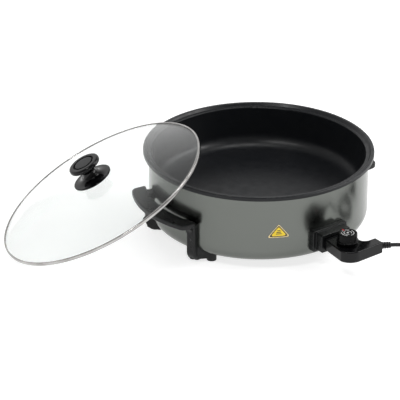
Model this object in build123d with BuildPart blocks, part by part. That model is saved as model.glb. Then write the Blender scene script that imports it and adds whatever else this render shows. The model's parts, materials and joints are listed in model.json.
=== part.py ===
"""Round electric party pan with a leaning glass lid and a plug-in temperature control.

Frame: the pan's axis is Z and the table is Z = 0.  +X is to the right and +Y is
away from someone who stands in front of it.  All sizes are in millimetres.
"""
import math
import os

from build123d import *

# ---- driving dimensions: inner pan ----
RIM_R = 210.0            # outer edge of the rim
RIM_Z = 149.0            # top of the rim
LIP_R = 204.0            # inner edge of the raised lip
LEDGE_R = 200.7          # foot of the lip, where the lid's band sits
LEDGE_DROP = 4.5
FLANGE_H = 7.5
CAVITY_R = 194.5
FLOOR_Z = 67.0           # cooking surface
FLOOR_FILLET = 23.0
PAN_WALL = 3.0
PAN_FLOOR_T = 4.0

# ---- outer housing ----
HOUSING_R = 200.0
HOUSING_BASE_Z = 14.0
HOUSING_CORNER = 24.0
SHEET = 1.0
VENT_COUNT = 10
VENT_CIRCLE_R = 110.0

# ---- heating ----
ELEMENT_R = 125.0        # centre line of the ring
ELEMENT_TUBE_R = 4.0
REFLECTOR_R = 160.0
REFLECTOR_Z = 40.0
STUD_R = 3.0
CLIP_COUNT = 4

# ---- socket on the wall, where the control plugs in ----
PORT_AZIMUTH = -53.5
PORT_Z = 52.0
PIN_R = 3.0
PIN_SPREAD = 32.0        # between the two pins' centres
PIN_TIP_U = 221.0
LEAD_END_U = 190.0
PLATE_U = 192.0          # inner face of the terminal plate
PLATE_T = 1.5
GUARD_FLANGE = (76.0, 40.0, 208.0)   # width, height, distance of its front from the axis
GUARD_BLOCK = (64.0, 34.0, 224.0)
POCKET = (52.0, 22.0, 204.5)

# ---- label on the wall ----
LABEL_AZIMUTH = -81.0
LABEL_BASE_Z = 66.0
LABEL_W = 41.5
LABEL_H = 25.5
LABEL_T = 0.35

# ---- handles ----
HANDLE_FROM_PORT = 94.7  # degrees from the socket to each handle's middle
HANDLE_TOP_Z = 84.0
HANDLE_T = 11.0
HANDLE_INNER_R = 207.0
HANDLE_REACH = 238.0     # furthest point from the axis
HANDLE_BOW_R = 195.0
HANDLE_HALF_W = 89.0
LEG_ANGLE = 21.8         # each side of the handle's middle
LEG_OUT_R = 210.4
LEG_W = 18.5
LEG_FLARE = 12.0         # how far the leg spreads outwards under the bow
LEG_SPREAD = 15.0        # how far it spreads sideways there, towards the handle's middle
TOE_ANGLE = 29.2
TOE_R = 178.0
ANCHOR_ANGLE = 25.5      # screw boss under the housing
ANCHOR_R = 160.0
ANCHOR_HOLE_R = 1.6
PAD_T = 1.5
PAD_R = 5.0
LEG_PAD_R = 184.0        # distance of the leg's pad from the axis

# ---- lid ----
LID_R = 200.0
LID_X, LID_Y = -283.0, -76.5
LID_TILT = 27.7
LID_TILT_AZIMUTH = 187.4
TABLE_GAP = 0.3
GLASS_T = 4.4
GLASS_RISE = 36.0        # top of the dome above the band's underside
BAND_T = 0.9
BAND_LIP = 3.2
KNOB_BASE_R = 36.5
KNOB_BASE_Z = 35.7       # underside of the saucer's edge
KNOB_NECK_Z = 45.0
KNOB_NECK_R = 17.0
KNOB_FLARE_Z = 63.0
KNOB_FLARE_R = 25.0
KNOB_CAP_R = 29.5
KNOB_TOP = 72.0
KNOB_BOLT_R = 2.5

# ---- control ----
CONTROL_T = 21.0
CONTROL_FRONT_U = 298.0
CONTROL_BACK_U = 224.6
CONTROL_LEFT_T = -27.0
CONTROL_RIGHT_T = 21.0
CONTROL_CORNER = (278.0, -33.5)      # where the left side meets the curved front
CONTROL_CURVE = (291.5, -25.5)       # on the curve
CONTROL_CURVE_END_T = -6.0
ARM_BACK_U = 274.0
ARM_END_T = 48.0
NOSE_W = 51.2
SHELL_T = 2.2
DIAL_U, DIAL_T = 259.0, -3.0
DIAL_R = 17.0
DIAL_SKIRT_R = 19.5
DIAL_SKIRT_H = 7.0
DIAL_TOP_Z = 82.0
WELL_R = 21.5            # shallow well round the dial
WELL_DEPTH = 1.2
SHAFT_R = 3.0
PROBE_R = 3.5
PROBE_TIP_U = 142.0
FIT = 0.05               # radial play of a running fit

# ---- mains lead ----
CORD_R = 3.5
RELIEF_AZIMUTH = 13.0
RELIEF_DROP = 3.0        # degrees below level
RELIEF_L = 20.0
RELIEF_BASE_R = 6.3
RELIEF_TIP_R = 5.9
EXIT_RUN = 30.0          # straight out of the strain relief
# from there down to the table and into the coil
CORD_ROUTE = [(283, -171, 27), (309, -156, 8), (335, -143, 3.7), (353, -121.5, 3.7)]
COIL_X, COIL_Y = 320.8, -94.5
COIL_MID_R = 38.5
COIL_WIDTH, COIL_H = 14.0, 14.0
PLUG_R = 18.5
PLUG_L = 62.0
PLUG_DISC_T = 13.0
PLUG_BACK_Y = -62.0
PLUG_PIN_R = 2.4
PLUG_PIN_L = 19.0
PLUG_PIN_SPREAD = 19.0

CLEAR = 0.3              # between parts that move apart


def save(piece, name):
    piece.part.label = name
    export_step(piece.part, f"parts/{name}.step")


def corner(sketch, x, y):
    """The sketch's vertex nearest to a point."""
    return sketch.vertices().sort_by_distance((x, y))[0]


os.makedirs("parts", exist_ok=True)
port = Plane.XY.rotated((0, 0, PORT_AZIMUTH))       # local x runs out of the wall
pan_underside = FLOOR_Z - PAN_FLOOR_T
handle_azimuths = {"left": PORT_AZIMUTH - HANDLE_FROM_PORT, "right": PORT_AZIMUTH + HANDLE_FROM_PORT}
anchor_azimuths = [
    azimuth + way * ANCHOR_ANGLE for azimuth in handle_azimuths.values() for way in (-1, 1)
]
ledge_z = RIM_Z - LEDGE_DROP
flange_z = RIM_Z - FLANGE_H
pan_outer_r = CAVITY_R + PAN_WALL


def outward(u, t, z):
    """Plane facing out of the wall at the port, u from the axis and t along the wall."""
    return Plane(port.from_local_coords((u, t, z)), x_dir=port.y_dir, z_dir=port.x_dir)


def section_at(azimuth):
    """Upright half plane through the pan's axis: local x is the radius, local y the height."""
    radial = Vector(1, 0, 0).rotate(Axis.Z, azimuth)
    return Plane((0, 0, 0), x_dir=radial, z_dir=radial.rotate(Axis.Z, -90))


# ======================= base: pan, housing and heating =======================
with BuildPart() as inner_pan:
    with BuildSketch(Plane.XZ) as section:
        with BuildLine():
            Polyline(
                (0, FLOOR_Z), (CAVITY_R, FLOOR_Z), (CAVITY_R, ledge_z), (LEDGE_R, ledge_z),
                (LIP_R, RIM_Z), (RIM_R, RIM_Z), (RIM_R, flange_z), (pan_outer_r, flange_z),
                (pan_outer_r, pan_underside), (0, pan_underside), close=True,
            )
        make_face()
        fillet(corner(section, CAVITY_R, FLOOR_Z), FLOOR_FILLET)
        fillet(corner(section, pan_outer_r, pan_underside), FLOOR_FILLET + PAN_WALL)
        fillet(corner(section, CAVITY_R, ledge_z), 2.5)
        fillet(corner(section, LEDGE_R, ledge_z), 1.0)
        fillet(corner(section, LIP_R, RIM_Z), 1.2)
        fillet(corner(section, RIM_R, RIM_Z), 1.8)
        fillet(corner(section, RIM_R, flange_z), 1.0)
    revolve(axis=Axis.Z)
save(inner_pan, "inner_pan")


def housing_section(radius, base, corner_r, wall=0.0):
    """Half section of the drawn bowl, solid, or a shell if a wall is given."""
    with BuildSketch(Plane.XZ) as bowl:
        with BuildLine():
            Polyline((0, base), (radius, base), (radius, flange_z), (0, flange_z), close=True)
        make_face()
        fillet(corner(bowl, radius, base), corner_r)
        if wall:
            with BuildSketch(mode=Mode.PRIVATE) as inside:
                with BuildLine():
                    Polyline(
                        (0, base + wall), (radius - wall, base + wall),
                        (radius - wall, flange_z), (0, flange_z), close=True,
                    )
                make_face()
                fillet(corner(inside, radius - wall, base + wall), corner_r - wall)
            add(inside.sketch, mode=Mode.SUBTRACT)
    return bowl.sketch


window_w, window_h = POCKET[0] + 10, POCKET[1] + 6
with BuildPart() as outer_housing:
    add(housing_section(HOUSING_R, HOUSING_BASE_Z, HOUSING_CORNER, SHEET))
    revolve(axis=Axis.Z)
    with BuildSketch(outward(HOUSING_R - 15, 0, PORT_Z)):
        RectangleRounded(window_w, window_h, 4)
    extrude(amount=25, mode=Mode.SUBTRACT)
    with BuildSketch(Plane.XY.offset(HOUSING_BASE_Z - 1)):
        Circle(STUD_R + 0.2)
        with PolarLocations(VENT_CIRCLE_R, VENT_COUNT):
            SlotOverall(36, 3.6)
        for azimuth in anchor_azimuths:
            with PolarLocations(ANCHOR_R, 1, start_angle=azimuth):
                Circle(ANCHOR_HOLE_R)
    extrude(amount=SHEET + 2, mode=Mode.SUBTRACT)
save(outer_housing, "outer_housing")

lead_t = PIN_SPREAD / 2
ring_half_gap = 8.0
element_z = pan_underside - ELEMENT_TUBE_R
with BuildPart() as heating_element:
    with BuildSketch(section_at(PORT_AZIMUTH + ring_half_gap)):
        with Locations((ELEMENT_R, element_z)):
            Circle(ELEMENT_TUBE_R)
    revolve(axis=Axis.Z, revolution_arc=360 - 2 * ring_half_gap)
    for side in (-1, 1):
        ring_end = Vector(ELEMENT_R, 0, element_z).rotate(Axis.Z, PORT_AZIMUTH + side * ring_half_gap)
        path = [
            ring_end,
            port.from_local_coords((LEAD_END_U - 20, side * lead_t, PORT_Z)),
            port.from_local_coords((LEAD_END_U, side * lead_t, PORT_Z)),
        ]
        for first, last in zip(path, path[1:]):
            with BuildSketch(Plane(first, z_dir=last - first)):
                Circle(ELEMENT_TUBE_R)
            extrude(amount=(last - first).length)
        with Locations(path[0], path[1]):
            Sphere(ELEMENT_TUBE_R)
save(heating_element, "heating_element")

clip_w, clip_t, clip_reach = 12.0, 1.5, 9.0
clip_base_z = element_z - ELEMENT_TUBE_R - clip_t
with BuildPart() as element_clips:
    with PolarLocations(ELEMENT_R, CLIP_COUNT, start_angle=PORT_AZIMUTH + 45):
        with Locations((0, 0, clip_base_z + clip_t / 2)):
            Box(2 * clip_reach, clip_w, clip_t)
        with Locations((-clip_reach + 2, 0, clip_base_z), (clip_reach - 2, 0, clip_base_z)):
            Cylinder(2, pan_underside - clip_base_z, align=(Align.CENTER, Align.CENTER, Align.MIN))
save(element_clips, "element_clips")

with BuildPart() as heat_reflector:
    with BuildSketch(Plane.XY.offset(REFLECTOR_Z)):
        Circle(REFLECTOR_R)
        Circle(STUD_R + 0.2, mode=Mode.SUBTRACT)
    extrude(amount=0.8)
    with BuildSketch(Plane.XY.offset(REFLECTOR_Z)):
        Circle(REFLECTOR_R)
        Circle(REFLECTOR_R - 0.8, mode=Mode.SUBTRACT)
    extrude(amount=5)
save(heat_reflector, "heat_reflector")

nut_h, nut_af = 5.0, 10.0
with BuildPart() as centre_stud:
    with BuildSketch(Plane.XY.offset(HOUSING_BASE_Z - nut_h - 2)):
        Circle(STUD_R)
    extrude(amount=pan_underside - HOUSING_BASE_Z + nut_h + 2)
save(centre_stud, "centre_stud")

with BuildPart() as stud_spacers:
    for low, high in ((HOUSING_BASE_Z + SHEET, REFLECTOR_Z), (REFLECTOR_Z + 0.8, pan_underside)):
        with BuildSketch(Plane.XY.offset(low)):
            Circle(7)
            Circle(STUD_R, mode=Mode.SUBTRACT)
        extrude(amount=high - low)
save(stud_spacers, "stud_spacers")

with BuildPart() as stud_nut:
    with BuildSketch(Plane.XY.offset(HOUSING_BASE_Z - nut_h)):
        RegularPolygon(nut_af / 2, 6, major_radius=False)
        Circle(STUD_R, mode=Mode.SUBTRACT)
    extrude(amount=nut_h - 1)
    with BuildSketch(Plane.XY.offset(HOUSING_BASE_Z - 1)):
        Circle(8)
        Circle(STUD_R, mode=Mode.SUBTRACT)
    extrude(amount=1)
save(stud_nut, "stud_nut")

# ======================= base: terminals and guard =======================
bush_r, bush_back, bush_front = 6.0, 5.0, 6.0
screw_t = POCKET[0] / 2 + 3
plate_w, plate_h = 66.0, 33.0
with BuildPart() as terminal_plate:
    with BuildSketch(outward(PLATE_U, 0, PORT_Z)):
        RectangleRounded(plate_w, plate_h, 3)
        with Locations((-lead_t, 0), (lead_t, 0)):
            Circle(bush_r, mode=Mode.SUBTRACT)
        with Locations((-screw_t, 0), (screw_t, 0)):
            Circle(1.6, mode=Mode.SUBTRACT)
        Circle(PROBE_R + 1.5, mode=Mode.SUBTRACT)
    extrude(amount=PLATE_T)
save(terminal_plate, "terminal_plate")

with BuildPart() as terminal_insulators:
    for side in (-1, 1):
        with BuildSketch(outward(PLATE_U - bush_back, side * lead_t, PORT_Z)):
            Circle(bush_r)
            Circle(ELEMENT_TUBE_R, mode=Mode.SUBTRACT)
        extrude(amount=LEAD_END_U - PLATE_U + bush_back)
        with BuildSketch(outward(LEAD_END_U, side * lead_t, PORT_Z)):
            Circle(bush_r)
            Circle(PIN_R, mode=Mode.SUBTRACT)
        extrude(amount=PLATE_U + bush_front - LEAD_END_U)
save(terminal_insulators, "terminal_insulators")

with BuildPart() as terminal_pins:
    for side in (-1, 1):
        with BuildSketch(outward(LEAD_END_U, side * lead_t, PORT_Z)):
            Circle(PIN_R)
        extrude(amount=PIN_TIP_U - LEAD_END_U)
    ends = terminal_pins.edges().filter_by(GeomType.CIRCLE).group_by(Axis((0, 0, 0), port.x_dir))[-1]
    chamfer(ends, 1)
save(terminal_pins, "terminal_pins")

strip_w, strip_t = 7.0, 0.8
with BuildPart(port) as earth_strip:
    with Locations((PLATE_U - strip_t / 2, 0, PORT_Z + 5.5)):
        Box(strip_t, strip_w, pan_underside - PORT_Z - 5.5, align=(Align.CENTER, Align.CENTER, Align.MIN))
    with Locations((PLATE_U - 6, 0, pan_underside - strip_t)):
        Box(12, strip_w, strip_t, align=(Align.CENTER, Align.CENTER, Align.MIN))
save(earth_strip, "earth_strip")

block_w, block_back, block_front = 15.0, 138.0, 178.0
with BuildPart(port) as probe_block:
    with Locations(((block_back + block_front) / 2, 0, PORT_Z - 7)):
        Box(block_front - block_back, block_w, pan_underside - PORT_Z + 7,
            align=(Align.CENTER, Align.CENTER, Align.MIN))
    with BuildSketch(outward(block_back + 2, 0, PORT_Z)):
        Circle(PROBE_R + CLEAR)
    extrude(amount=block_front - block_back, mode=Mode.SUBTRACT)
save(probe_block, "probe_block")

with BuildPart() as wall_envelope:      # the housing's outside, for parts moulded to fit it
    add(housing_section(HOUSING_R + 0.1, HOUSING_BASE_Z - 0.1, HOUSING_CORNER))
    revolve(axis=Axis.Z)

with BuildPart() as terminal_guard:
    for width, height, front in (GUARD_FLANGE, GUARD_BLOCK):
        with BuildSketch(outward(HOUSING_R - 12, 0, PORT_Z)):
            RectangleRounded(width, height, 3)
        extrude(amount=front - HOUSING_R + 12)
    add(wall_envelope.part, mode=Mode.SUBTRACT)
    fronts = terminal_guard.faces().filter_by(lambda face: face.normal_at().dot(port.x_dir) > 0.99)
    fillet(fronts.edges(), 1.2)
    with BuildSketch(outward(POCKET[2], 0, PORT_Z)):
        RectangleRounded(POCKET[0], POCKET[1], 2)
    extrude(amount=30, mode=Mode.SUBTRACT)
    with BuildSketch(outward(HOUSING_R - 20, 0, PORT_Z)):
        Circle(PROBE_R + 1)
        with Locations((-lead_t, 0), (lead_t, 0)):
            Circle(bush_r + 0.1)
    extrude(amount=30, mode=Mode.SUBTRACT)
    with BuildSketch(outward(HOUSING_R - 20, 0, PORT_Z)):
        with Locations((-screw_t, 0), (screw_t, 0)):
            Circle(1.5)
    extrude(amount=34, mode=Mode.SUBTRACT)
save(terminal_guard, "terminal_guard")

# ======================= base: label, handles and feet =======================
with BuildPart() as hot_label:
    wall_normal = Vector(1, 0, 0).rotate(Axis.Z, LABEL_AZIMUTH)
    with BuildSketch(Plane(wall_normal * (HOUSING_R - 8) + Vector(0, 0, LABEL_BASE_Z), z_dir=wall_normal,
                           x_dir=wall_normal.rotate(Axis.Z, 90))):
        with BuildLine():
            Polyline((-LABEL_W / 2, 0), (LABEL_W / 2, 0), (0, LABEL_H), close=True)
        make_face()
        fillet(vertices(), 2)
    extrude(amount=12)
    with BuildSketch(Plane.XY, mode=Mode.PRIVATE) as skin:
        Circle(HOUSING_R + LABEL_T)
        Circle(HOUSING_R, mode=Mode.SUBTRACT)
    extrude(skin.sketch, amount=flange_z, mode=Mode.INTERSECT)
save(hot_label, "hot_label")

grip_z = HANDLE_TOP_Z - HANDLE_T
bridge_z = 7.0
anchor_r, toe_r = 7.0, 9.0
leg_back_r = HOUSING_R - HOUSING_CORNER
sole_curve_r, leg_edge_r, bow_edge_r = 20.0, 4.0, 3.0
spread_back_r = HOUSING_R + 3
bow_depth = 100.0        # the bow is cut off this far in from its tip
bow_inner_corner_r, bow_outer_corner_r = 4.0, 13.0


def handle_leg(azimuth, way):
    """Upright leg on the wall, curved in at the table and spread out under the bow.

    The leg is on the handle's anticlockwise side, seen from above, if way is 1, and on the
    other side if it is -1.
    """
    radial = Vector(1, 0, 0).rotate(Axis.Z, azimuth)
    across = Vector(0, 1, 0).rotate(Axis.Z, azimuth)
    flare_low, flare_out = grip_z - LEG_FLARE, LEG_OUT_R + LEG_FLARE
    spread_low, spread_side = grip_z - LEG_SPREAD, LEG_W / 2 + LEG_SPREAD
    with BuildPart() as leg:
        with BuildSketch(section_at(azimuth)) as profile:
            with BuildLine():
                Polyline(
                    (leg_back_r, PAD_T), (LEG_OUT_R, PAD_T), (LEG_OUT_R, grip_z + 4),
                    (leg_back_r, grip_z + 4), close=True,
                )
            make_face()
            fillet(corner(profile, LEG_OUT_R, PAD_T), sole_curve_r)
        extrude(amount=LEG_W / 2, both=True)
        on_sides = leg.edges().filter_by(
            lambda edge: abs(abs(edge.center().dot(across)) - LEG_W / 2) < 0.01
        )
        below_bow = on_sides.filter_by(lambda edge: edge.center().Z < grip_z + 3)
        exposed = below_bow.filter_by(
            lambda edge: math.hypot(edge.center().X, edge.center().Y) > leg_back_r + 4
        )
        fillet(exposed, leg_edge_r)
        with BuildSketch(section_at(azimuth)):
            with BuildLine():
                Polyline(
                    (flare_out, grip_z), (flare_out, grip_z + 1), (leg_back_r, grip_z + 1),
                    (leg_back_r, flare_low), (LEG_OUT_R, flare_low),
                )
                RadiusArc((LEG_OUT_R, flare_low), (flare_out, grip_z), LEG_FLARE)
            make_face()
        extrude(amount=LEG_W / 2 - leg_edge_r, both=True)
        with BuildSketch(Plane(radial * spread_back_r, x_dir=across * -way, z_dir=radial * -way)):
            with BuildLine():
                Polyline(
                    (spread_side, grip_z), (spread_side, grip_z + 1), (0, grip_z + 1),
                    (0, spread_low), (LEG_W / 2, spread_low),
                )
                RadiusArc((LEG_W / 2, spread_low), (spread_side, grip_z), LEG_SPREAD)
            make_face()
        extrude(amount=-way * (LEG_OUT_R - 1 - spread_back_r))
    return leg.part


for side, azimuth in handle_azimuths.items():
    frame = Plane.XY.rotated((0, 0, azimuth))
    with BuildPart() as handle:
        with BuildSketch(frame.offset(grip_z)):
            with Locations((HANDLE_REACH - HANDLE_BOW_R, 0)):
                Circle(HANDLE_BOW_R)
            Circle(HANDLE_INNER_R, mode=Mode.SUBTRACT)
            with Locations((HANDLE_REACH, 0)):
                Rectangle(
                    bow_depth, 2 * HANDLE_HALF_W, align=(Align.MAX, Align.CENTER), mode=Mode.INTERSECT
                )
            fillet(vertices().group_by(SortBy.DISTANCE)[0], bow_inner_corner_r)
            fillet(vertices().sort_by_distance((0, 0, 0))[-2:], bow_outer_corner_r)
        extrude(amount=HANDLE_T)
        fillet(handle.edges().filter_by(Plane.XY), bow_edge_r)
        for way in (-1, 1):
            add(handle_leg(azimuth + way * LEG_ANGLE, way))
            with BuildSketch(frame.offset(PAD_T)):
                with PolarLocations(TOE_R, 1, start_angle=way * TOE_ANGLE):
                    Circle(toe_r)
            extrude(amount=HOUSING_BASE_Z)
            with BuildSketch(frame.offset(bridge_z)):
                spots = ((HOUSING_R, LEG_ANGLE), (TOE_R, TOE_ANGLE), (ANCHOR_R, ANCHOR_ANGLE))
                for radius, angle in spots:
                    with PolarLocations(radius, 1, start_angle=way * angle):
                        Circle(anchor_r)
                make_hull()
            extrude(amount=HOUSING_CORNER)
        add(wall_envelope.part, mode=Mode.SUBTRACT)
        with BuildSketch(frame.offset(bridge_z - 1)):
            for way in (-1, 1):
                with PolarLocations(ANCHOR_R, 1, start_angle=way * ANCHOR_ANGLE):
                    Circle(ANCHOR_HOLE_R)
        extrude(amount=10, mode=Mode.SUBTRACT)
    save(handle, f"handle_{side}")

with BuildPart() as handle_screws:
    inside_z = HOUSING_BASE_Z + SHEET
    for low, height, radius in ((bridge_z, inside_z - bridge_z, ANCHOR_HOLE_R), (inside_z, 2.2, 3.5)):
        with BuildSketch(Plane.XY.offset(low)):
            for azimuth in anchor_azimuths:
                with PolarLocations(ANCHOR_R, 1, start_angle=azimuth):
                    Circle(radius)
        extrude(amount=height)
save(handle_screws, "handle_screws")

with BuildPart() as foot_pads:
    with BuildSketch():
        for azimuth in handle_azimuths.values():
            for way in (-1, 1):
                with PolarLocations(LEG_PAD_R, 1, start_angle=azimuth + way * LEG_ANGLE):
                    Circle(PAD_R)
                with PolarLocations(TOE_R, 1, start_angle=azimuth + way * TOE_ANGLE):
                    Circle(PAD_R)
    extrude(amount=PAD_T)
save(foot_pads, "foot_pads")

with BuildPart() as guard_screws:
    for side in (-1, 1):
        with BuildSketch(outward(PLATE_U - 2, side * screw_t, PORT_Z)):
            Circle(3)
        extrude(amount=2)
        with BuildSketch(outward(PLATE_U, side * screw_t, PORT_Z)):
            Circle(1.5)
        extrude(amount=20)
save(guard_screws, "guard_screws")

# ======================= lid =======================
lid_normal = Vector(0, 0, 1).rotate(Axis.Y, LID_TILT).rotate(Axis.Z, LID_TILT_AZIMUTH)
lid_across = Vector(0, 1, 0).rotate(Axis.Z, LID_TILT_AZIMUTH)
lid_z = LID_R * math.sin(math.radians(LID_TILT)) + TABLE_GAP
lid_section = Plane((LID_X, LID_Y, lid_z), x_dir=lid_across, z_dir=lid_across.cross(lid_normal))
lid_axis = Axis((LID_X, LID_Y, lid_z), lid_normal)
glass_low = BAND_T
glass_edge_r = LID_R - BAND_T
dome_edge_r = LID_R - BAND_LIP
dome_rise = GLASS_RISE - glass_low - GLASS_T
dome_r = (dome_edge_r ** 2 + dome_rise ** 2) / (2 * dome_rise)


def dome_height(radius, top):
    return top - dome_r + (dome_r ** 2 - radius ** 2) ** 0.5


with BuildPart() as lid_glass:
    with BuildSketch(lid_section):
        with BuildLine():
            outer = [(radius, dome_height(radius, GLASS_RISE))
                     for radius in (KNOB_BOLT_R + 0.5, dome_edge_r / 2, dome_edge_r)]
            inner = [(radius, height - GLASS_T) for radius, height in outer]
            ThreePointArc(*outer)
            Polyline(outer[-1], (glass_edge_r, glass_low + GLASS_T), (glass_edge_r, glass_low), inner[-1])
            ThreePointArc(*inner)
            Line(inner[0], outer[0])
        make_face()
    revolve(axis=lid_axis)
save(lid_glass, "lid_glass")

with BuildPart() as lid_band:
    with BuildSketch(lid_section) as channel:
        with Locations((LID_R - BAND_LIP / 2, BAND_T + GLASS_T / 2)):
            Rectangle(BAND_LIP, GLASS_T + 2 * BAND_T)
        fillet(channel.vertices().group_by(Axis.X)[-1], 1.2)
        with Locations((LID_R - BAND_T - BAND_LIP / 2, BAND_T + GLASS_T / 2)):
            Rectangle(BAND_LIP, GLASS_T, mode=Mode.SUBTRACT)
    revolve(axis=lid_axis)
save(lid_band, "lid_band")

seal_r = 11.0
seal_top = GLASS_RISE + 1
seal_under = GLASS_RISE - GLASS_T - 1.6
with BuildPart() as knob_seals:
    for low, high in ((GLASS_RISE, seal_top), (seal_under, seal_under + 1.5)):
        with BuildSketch(lid_section):
            with BuildLine():
                Polyline(
                    (KNOB_BOLT_R, low), (seal_r, low), (seal_r, high), (KNOB_BOLT_R, high), close=True,
                )
            make_face()
        revolve(axis=lid_axis)
save(knob_seals, "knob_seals")

saucer_edge_z = KNOB_BASE_Z + 2.7
saucer_dish = (25.5, 40.2)           # on the curve from the edge to the neck
with BuildPart() as knob_base:
    with BuildSketch(lid_section) as saucer:
        with BuildLine():
            Polyline(
                (KNOB_BOLT_R, seal_top), (KNOB_BASE_R - 4.5, seal_top), (KNOB_BASE_R - 2.5, KNOB_BASE_Z),
                (KNOB_BASE_R, KNOB_BASE_Z), (KNOB_BASE_R, saucer_edge_z),
            )
            ThreePointArc((KNOB_BASE_R, saucer_edge_z), saucer_dish, (KNOB_NECK_R, KNOB_NECK_Z))
            Polyline((KNOB_NECK_R, KNOB_NECK_Z), (KNOB_BOLT_R, KNOB_NECK_Z), (KNOB_BOLT_R, seal_top))
        make_face()
        fillet(corner(saucer, KNOB_BASE_R, saucer_edge_z), 1.0)
    revolve(axis=lid_axis)
save(knob_base, "knob_base")

bolt_end = KNOB_FLARE_Z - 4
waist_pulls = ((11, 50), (10, 60))   # draw the grip in to its waist
with BuildPart() as knob_grip:
    with BuildSketch(lid_section):
        with BuildLine():
            Line((KNOB_BOLT_R, KNOB_NECK_Z), (KNOB_NECK_R - 1, KNOB_NECK_Z))
            Bezier((KNOB_NECK_R - 1, KNOB_NECK_Z), *waist_pulls, (KNOB_FLARE_R, KNOB_FLARE_Z))
            Polyline(
                (KNOB_FLARE_R, KNOB_FLARE_Z), (0, KNOB_FLARE_Z), (0, bolt_end),
                (KNOB_BOLT_R, bolt_end), (KNOB_BOLT_R, KNOB_NECK_Z),
            )
        make_face()
    revolve(axis=lid_axis)
save(knob_grip, "knob_grip")

inlay_r, groove_r, groove_w = 16.5, 19.0, 1.4
cap_face_z = KNOB_TOP - 0.8
with BuildPart() as knob_cap:
    with BuildSketch(lid_section) as cap:
        with BuildLine():
            Polyline(
                (0, KNOB_FLARE_Z), (KNOB_CAP_R, KNOB_FLARE_Z), (KNOB_CAP_R, cap_face_z), (0, cap_face_z),
                close=True,
            )
        make_face()
        fillet(corner(cap, KNOB_CAP_R, KNOB_TOP), 3.2)
        fillet(corner(cap, KNOB_CAP_R, KNOB_FLARE_Z), 2.4)
        with Locations((groove_r, cap_face_z)):
            Rectangle(groove_w, 1.6, mode=Mode.SUBTRACT)
        with Locations((inlay_r / 2, cap_face_z)):
            Rectangle(inlay_r, 1.6, mode=Mode.SUBTRACT)
    revolve(axis=lid_axis)
save(knob_cap, "knob_cap")

with BuildPart() as knob_inlay:
    with BuildSketch(lid_section):
        with BuildLine():
            Polyline(
                (0, cap_face_z - 0.8), (inlay_r, cap_face_z - 0.8), (inlay_r, cap_face_z + 0.4),
                (0, KNOB_TOP), close=True,
            )
        make_face()
    revolve(axis=lid_axis)
save(knob_inlay, "knob_inlay")

screw_head_r = 5.5
with BuildPart() as knob_screw:
    with BuildSketch(lid_section):
        with BuildLine():
            Polyline(
                (0, seal_under - 3), (screw_head_r - 1.5, seal_under - 3),
                (screw_head_r, seal_under - 1.5), (screw_head_r, seal_under), (KNOB_BOLT_R, seal_under),
                (KNOB_BOLT_R, bolt_end), (0, bolt_end), close=True,
            )
        make_face()
    revolve(axis=lid_axis)
save(knob_screw, "knob_screw")

# ======================= control =======================
lead_dir = Vector(1, 0, 0).rotate(Axis.Y, RELIEF_DROP).rotate(Axis.Z, RELIEF_AZIMUTH)
arm_middle_u = (ARM_BACK_U + CONTROL_FRONT_U) / 2
lead = Plane(port.from_local_coords((arm_middle_u, ARM_END_T, PORT_Z)), z_dir=lead_dir)
control_low_z = PORT_Z - CONTROL_T / 2
control_top_z = PORT_Z + CONTROL_T / 2
well_z = control_top_z - WELL_DEPTH
nose_end_u = 232.0
boss_spots = ((238, -21.5), (237, 14.5), (285, 30))
boss_r, thread_r, screw_recess_r = 3.2, 1.3, 2.7
sleeve_r = 4.0
relief_core_r = 5.0
relief_seat_gap = 0.2


def control_outline(inset, back_u):
    """The control seen from above: a block with a curved front and a grip arm to one side."""
    slant = 0.7 * inset
    front_u = CONTROL_FRONT_U - inset
    curve_start = (CONTROL_CORNER[0], CONTROL_CORNER[1] + inset)
    curve_middle = (CONTROL_CURVE[0] - slant, CONTROL_CURVE[1] + slant)
    curve_end = (front_u, CONTROL_CURVE_END_T)
    arm_end_t = ARM_END_T - 2 * inset      # double wall, where the strain relief is held
    with BuildSketch(port) as outline:
        with BuildLine():
            Line((back_u, CONTROL_LEFT_T + inset), curve_start)
            ThreePointArc(curve_start, curve_middle, curve_end)
            Polyline(
                curve_end, (front_u - 2, arm_end_t), (ARM_BACK_U + inset, arm_end_t),
                (ARM_BACK_U + inset, CONTROL_RIGHT_T - inset), (back_u, CONTROL_RIGHT_T - inset),
                (back_u, CONTROL_LEFT_T + inset),
            )
        make_face()
        fillet(corner(outline, ARM_BACK_U, CONTROL_RIGHT_T), 12 + inset)
        fillet(corner(outline, CONTROL_FRONT_U, ARM_END_T), 3)
        fillet(corner(outline, ARM_BACK_U, ARM_END_T), 2)
    return outline.sketch


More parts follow.
